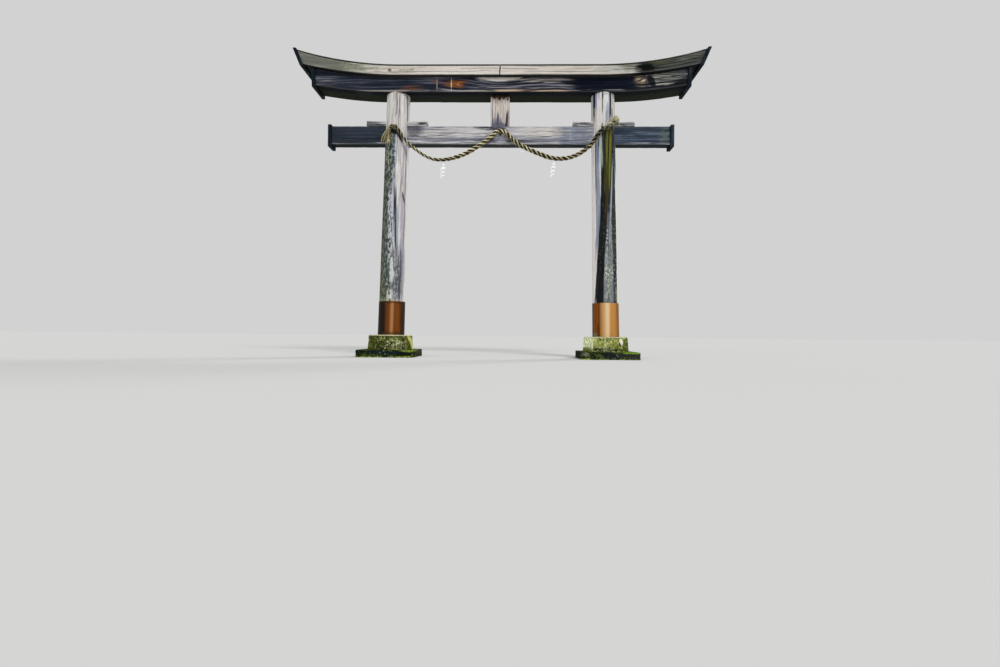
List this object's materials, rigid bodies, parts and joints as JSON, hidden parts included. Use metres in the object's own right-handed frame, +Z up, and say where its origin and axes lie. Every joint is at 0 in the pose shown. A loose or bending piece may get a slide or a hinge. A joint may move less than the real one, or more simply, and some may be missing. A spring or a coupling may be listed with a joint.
{
  "type": "torii gate",
  "caption": "Weathered wooden shrine gate with leaning round posts on stone bases, tie beam, curved double lintel, straw rope and paper streamers.",
  "frame": {"origin": "on the ground midway between the two posts", "axes": "+X along the gate to the right as seen from the front, +Y from front to back, +Z up"},
  "size_m": [8.8098, 1.12, 6.6121],
  "materials": {
    "post_timber": "weathered grey timber, cracked along the grain",
    "beam_timber": "dark weathered timber",
    "lintel_timber": "pale weathered timber",
    "strut_timber": "pale weathered timber",
    "wedge_timber": "weathered timber",
    "end_timber": "dark weathered boards",
    "cap_timber": "dark mossy boards",
    "mossy_stone": "rough dressed stone with moss",
    "slab_stone": "dark rough stone with moss",
    "copper": "worn copper sheet",
    "straw": "twisted rice straw",
    "white_paper": "folded white paper"
  },
  "bodies": {
    "root": {"base_stone_left": "mossy_stone", "base_stone_right": "mossy_stone", "cap_board_left_back": "cap_timber", "cap_board_left_front": "cap_timber", "cap_board_right_back": "cap_timber", "cap_board_right_front": "cap_timber", "centre_strut": "strut_timber", "copper_sleeve_left": "copper", "copper_sleeve_right": "copper", "ground_slab_left": "slab_stone", "ground_slab_right": "slab_stone", "lower_end_board_left": "end_timber", "lower_end_board_right": "end_timber", "lower_lintel": "beam_timber", "paper_scrap": "white_paper", "paper_streamer_left": "white_paper", "paper_streamer_right": "white_paper", "pillar_left": "post_timber", "pillar_right": "post_timber", "ridge_board_left": "cap_timber", "ridge_board_right": "cap_timber", "rope_binding_right": "straw", "rope_peg": "wedge_timber", "rope_tail_right": "straw", "rope_tassel_left": "straw", "straw_rope": "straw", "tie_beam": "beam_timber", "tie_end_board_left": "end_timber", "tie_end_board_right": "end_timber", "upper_end_board_left": "end_timber", "upper_end_board_right": "end_timber", "upper_lintel_left": "lintel_timber", "upper_lintel_right": "lintel_timber", "wedge_left_inner": "wedge_timber", "wedge_left_outer": "wedge_timber", "wedge_right_inner": "wedge_timber", "wedge_right_outer": "wedge_timber"}
  },
  "joints": []
}
